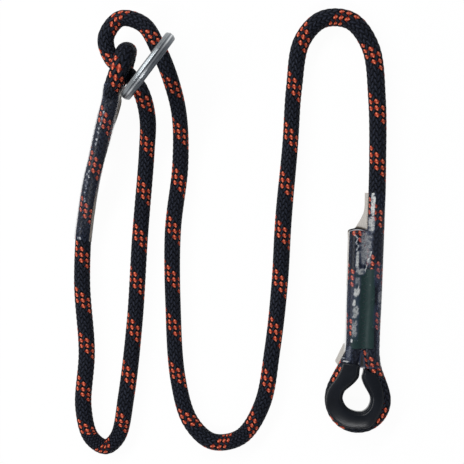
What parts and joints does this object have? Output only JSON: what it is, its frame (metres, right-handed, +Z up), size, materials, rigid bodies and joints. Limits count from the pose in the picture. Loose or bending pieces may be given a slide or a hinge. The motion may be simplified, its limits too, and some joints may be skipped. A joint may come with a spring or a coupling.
{
  "type": "adjustable rope lanyard",
  "caption": "Climbing rope lanyard laid out in curves, with a sewn eye on a moulded thimble, and a sewn eye and a steel adjuster ring that slide along the rope.",
  "frame": {"origin": "on the floor that the lanyard lies on, under the middle of the laid-out lanyard", "axes": "+Z up from the floor; +Y along the straight runs of rope, away from the thimble; +X towards the thimble's side"},
  "size_m": [0.2403, 0.3381, 0.0601],
  "materials": {
    "rope": "braided sheath, matt, with orange tracer threads",
    "thimble": "satin moulded",
    "ring": "turned and polished",
    "sleeve": "clear heat-shrunk film",
    "label": "printed film, left bare",
    "thread": "bonded sewing thread"
  },
  "bodies": {
    "rope": {"rope_free_run": "rope", "thimble_eye_rope": "rope", "ring_eye_rope": "rope", "thimble": "thimble", "thimble_eye_sleeve": "sleeve", "ring_eye_sleeve": "sleeve", "identification_label": "label", "thimble_eye_stitching_upper": "thread", "thimble_eye_stitching_under": "thread", "ring_eye_stitching_right": "thread", "ring_eye_stitching_left": "thread"},
    "ring": {"adjuster_ring": "ring"}
  },
  "joints": [
    {"name": "ring_spin", "type": "hinge", "parent": "rope", "child": "ring", "pos_m": [-0.0626, 0.1241, 0.03007], "axis": [0.797, -0.5977, -0.0872], "continuous": true}
  ]
}
